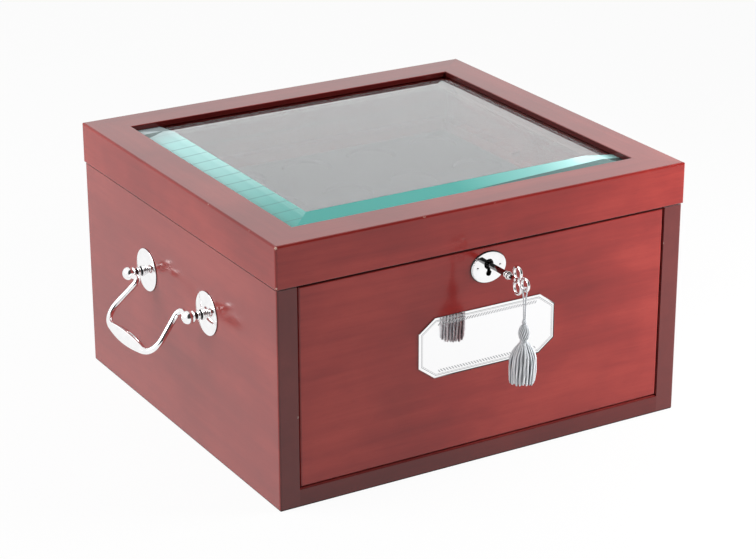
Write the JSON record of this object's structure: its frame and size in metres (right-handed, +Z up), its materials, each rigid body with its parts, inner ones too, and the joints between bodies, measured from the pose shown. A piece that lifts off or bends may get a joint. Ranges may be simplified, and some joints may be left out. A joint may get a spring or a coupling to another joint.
{
  "type": "coin display case",
  "caption": "Wooden coin case with a bevelled-glass lid over a coin tray, a deep lockable drawer, bail handles and a key with a tassel.",
  "frame": {"origin": "centre of the felt base, on the surface the case stands on", "axes": "+X along the front from left to right, +Y from the drawer front to the hinges, +Z up"},
  "size_m": [0.4432, 0.3838, 0.203],
  "materials": {
    "lacquered_cherry": "satin lacquer over cherry veneer",
    "inner_wood": "stained and oiled",
    "felt": "black wool felt",
    "velvet": "black velvet",
    "plate_glass": "clear, bevelled",
    "polished_nickel": "polished",
    "lock_steel": "brushed",
    "silver_yarn": "twisted viscose yarn"
  },
  "bodies": {
    "case": {"side_left": "lacquered_cherry", "side_right": "lacquered_cherry", "bottom_board": "lacquered_cherry", "back_panel": "lacquered_cherry", "mid_shelf": "inner_wood", "inner_front_rail": "lacquered_cherry", "felt_base": "felt", "drawer_runners": "inner_wood", "drawer_stops": "inner_wood", "drawer_bumpers": "felt", "lid_bumpers": "felt", "display_tray": "lacquered_cherry", "coin_pad": "velvet", "hinge_leaves_case": "polished_nickel", "hinge_pins": "polished_nickel", "hinge_screws_case": "polished_nickel", "handle_rosettes": "polished_nickel", "handle_posts": "polished_nickel", "handle_screws": "polished_nickel"},
    "lid": {"lid_rail_front": "lacquered_cherry", "lid_rail_back": "lacquered_cherry", "lid_rail_left": "lacquered_cherry", "lid_rail_right": "lacquered_cherry", "glass_panel": "plate_glass", "glass_beads": "lacquered_cherry", "hinge_leaves_lid": "polished_nickel", "hinge_screws_lid": "polished_nickel", "strike_plate": "lock_steel", "strike_screws": "lock_steel"},
    "drawer": {"drawer_front": "lacquered_cherry", "drawer_side_left": "inner_wood", "drawer_side_right": "inner_wood", "drawer_subfront": "inner_wood", "drawer_back": "inner_wood", "drawer_bottom": "inner_wood", "drawer_lining": "velvet", "drawer_dividers": "velvet", "drawer_front_screws": "lock_steel", "escutcheon": "polished_nickel", "escutcheon_pins": "polished_nickel", "name_plate": "polished_nickel", "lock_case": "lock_steel", "lock_cover": "lock_steel", "lock_selvedge": "lock_steel", "lock_drill_pin": "lock_steel", "lock_screws": "lock_steel"},
    "bolt": {"lock_bolt": "lock_steel"},
    "key": {"key": "polished_nickel"},
    "tassel": {"tassel_cord": "silver_yarn", "tassel_knot": "silver_yarn", "tassel_head": "silver_yarn", "tassel_skirt": "silver_yarn"},
    "left_bail": {"left_bail": "polished_nickel"},
    "right_bail": {"right_bail": "polished_nickel"}
  },
  "joints": [
    {"name": "lid_hinge", "type": "hinge", "parent": "case", "child": "lid", "pos_m": [0, 0.1639, 0.17], "axis": [-1, 0, 0], "range_deg": [0, 95]},
    {"name": "drawer_slide", "type": "slide", "parent": "case", "child": "drawer", "axis": [0, -1, 0], "range_m": [0, 0.22]},
    {"name": "key_turn", "type": "hinge", "parent": "drawer", "child": "key", "pos_m": [0, -0.165, 0.1556], "axis": [0, 1, 0], "range_deg": [0, 360]},
    {"name": "bolt_throw", "type": "slide", "parent": "drawer", "child": "bolt", "axis": [0, 0, 1], "range_m": [0, 0.006]},
    {"name": "tassel_swing", "type": "hinge", "parent": "key", "child": "tassel", "pos_m": [0, -0.2074, 0.1513], "axis": [0, 1, 0], "range_deg": [-70, 70]},
    {"name": "left_bail_swing", "type": "hinge", "parent": "case", "child": "left_bail", "pos_m": [-0.189, 0, 0.115], "axis": [0, 1, 0], "range_deg": [-54, 147]},
    {"name": "right_bail_swing", "type": "hinge", "parent": "case", "child": "right_bail", "pos_m": [0.189, 0, 0.115], "axis": [0, -1, 0], "range_deg": [-54, 147]}
  ],
  "couplings": [
    {"joint": "bolt_throw", "follows": "key_turn", "m_per_rad": 0.00095493}
  ]
}
